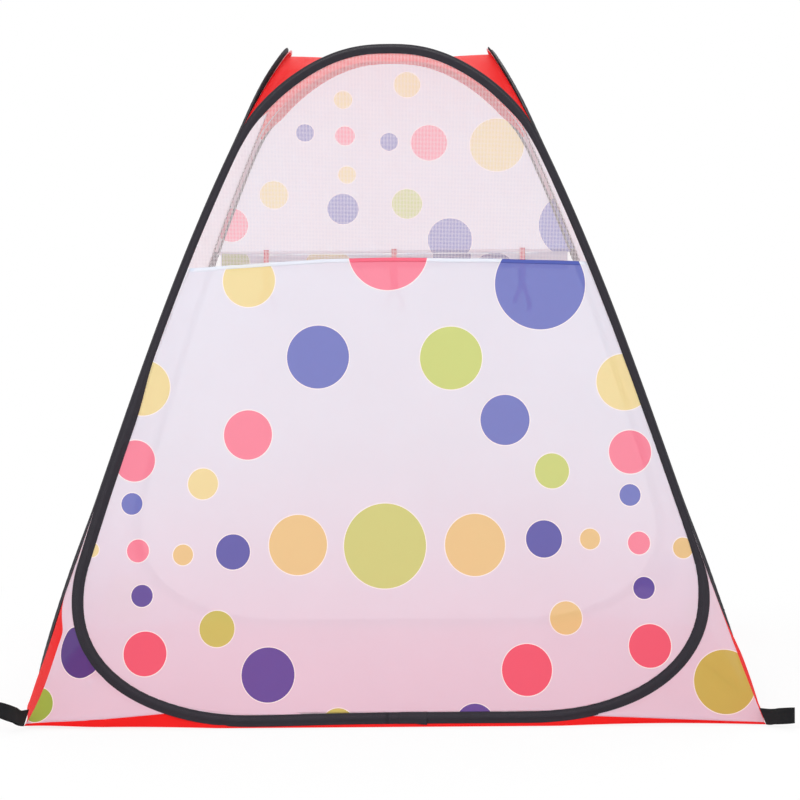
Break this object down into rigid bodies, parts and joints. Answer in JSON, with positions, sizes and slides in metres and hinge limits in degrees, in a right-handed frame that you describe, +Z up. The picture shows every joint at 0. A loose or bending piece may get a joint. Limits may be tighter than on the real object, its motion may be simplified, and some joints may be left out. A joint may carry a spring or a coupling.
{
  "type": "pop-up play tent",
  "caption": "Kids pop-up pyramid tent of sprung hoop walls in black binding, with dotted cloth, a net window, a rolled-up door, red roof and floor, and corner peg loops",
  "frame": {"origin": "middle of the floor's underside, on the ground", "axes": "+Z up, -Y out of the front wall that has the net window, +X to the right as seen from the front"},
  "size_m": [1.2844, 1.2844, 1.1074],
  "materials": {
    "binding": "woven polyester tape, folded over the hoop's wire and stitched",
    "spring_steel": "tempered spring wire and its crimped tube",
    "print_cloth": "thin see-through polyester with printed coloured dots, fading to pink at the foot",
    "plain_cloth": "thin see-through white polyester",
    "net": "fine white square mesh",
    "red_cloth": "thin red polyester",
    "ribbon": "narrow red satin ribbon",
    "webbing": "black woven webbing, 25 mm wide"
  },
  "bodies": {
    "front_wall": {"front_hoop_sleeve": "binding", "front_hoop_wire": "spring_steel", "front_wire_ferrule": "spring_steel", "front_sleeve_lap": "binding", "front_gusset_left": "print_cloth", "front_gusset_right": "print_cloth", "front_floor_edge": "red_cloth", "front_wall_cloth": "print_cloth", "front_window_hem": "print_cloth", "front_window_net": "net", "floor": "red_cloth", "roof_cloth": "red_cloth"},
    "left_wall": {"left_hoop_sleeve": "binding", "left_hoop_wire": "spring_steel", "left_wire_ferrule": "spring_steel", "left_sleeve_lap": "binding", "left_gusset_left": "red_cloth", "left_gusset_right": "red_cloth", "left_floor_edge": "red_cloth", "left_wall_cloth": "plain_cloth"},
    "right_wall": {"right_hoop_sleeve": "binding", "right_hoop_wire": "spring_steel", "right_wire_ferrule": "spring_steel", "right_sleeve_lap": "binding", "right_gusset_left": "red_cloth", "right_gusset_right": "red_cloth", "right_floor_edge": "red_cloth", "right_wall_cloth": "plain_cloth"},
    "back_wall": {"back_hoop_sleeve": "binding", "back_hoop_wire": "spring_steel", "back_wire_ferrule": "spring_steel", "back_sleeve_lap": "binding", "back_gusset_left": "print_cloth", "back_gusset_right": "print_cloth", "back_floor_edge": "red_cloth", "back_wall_cloth": "print_cloth", "back_door_hem": "print_cloth", "rolled_door": "print_cloth", "door_ribbon_left": "ribbon", "door_ribbon_middle": "ribbon", "door_ribbon_right": "ribbon"},
    "front_right_loop": {"peg_loop_front_right": "webbing"},
    "front_left_loop": {"peg_loop_front_left": "webbing"},
    "back_right_loop": {"peg_loop_back_right": "webbing"},
    "back_left_loop": {"peg_loop_back_left": "webbing"}
  },
  "joints": [
    {"name": "fold_left", "type": "hinge", "parent": "front_wall", "child": "left_wall", "pos_m": [-0.5987, -0.5987, 0], "axis": [-0.3306, -0.3306, -0.884], "range_deg": [0, 82], "stiffness_Nm_per_rad": 2, "springref_deg": -85.94, "deforming": ["floor", "roof_cloth"]},
    {"name": "fold_right", "type": "hinge", "parent": "front_wall", "child": "right_wall", "pos_m": [0.6186, -0.6186, 0], "axis": [0.3306, -0.3306, -0.884], "range_deg": [0, 82]},
    {"name": "fold_back", "type": "hinge", "parent": "right_wall", "child": "back_wall", "pos_m": [0.5987, 0.5987, 0], "axis": [-0.3306, -0.3306, 0.884], "range_deg": [0, 82]},
    {"name": "swing_front_right_loop", "type": "hinge", "parent": "front_wall", "child": "front_right_loop", "pos_m": [0.6011, -0.6011, 0.013], "axis": [0, 0, 1], "range_deg": [-40, 40]},
    {"name": "swing_front_left_loop", "type": "hinge", "parent": "front_wall", "child": "front_left_loop", "pos_m": [-0.6011, -0.6011, 0.013], "axis": [0, 0, 1], "range_deg": [-40, 40]},
    {"name": "swing_back_right_loop", "type": "hinge", "parent": "back_wall", "child": "back_right_loop", "pos_m": [0.6011, 0.6011, 0.013], "axis": [0, 0, 1], "range_deg": [-40, 40]},
    {"name": "swing_back_left_loop", "type": "hinge", "parent": "back_wall", "child": "back_left_loop", "pos_m": [-0.6011, 0.6011, 0.013], "axis": [0, 0, 1], "range_deg": [-40, 40]}
  ],
  "couplings": [
    {"joint": "fold_right", "follows": "fold_left", "ratio": 1},
    {"joint": "fold_back", "follows": "fold_left", "ratio": 1}
  ]
}
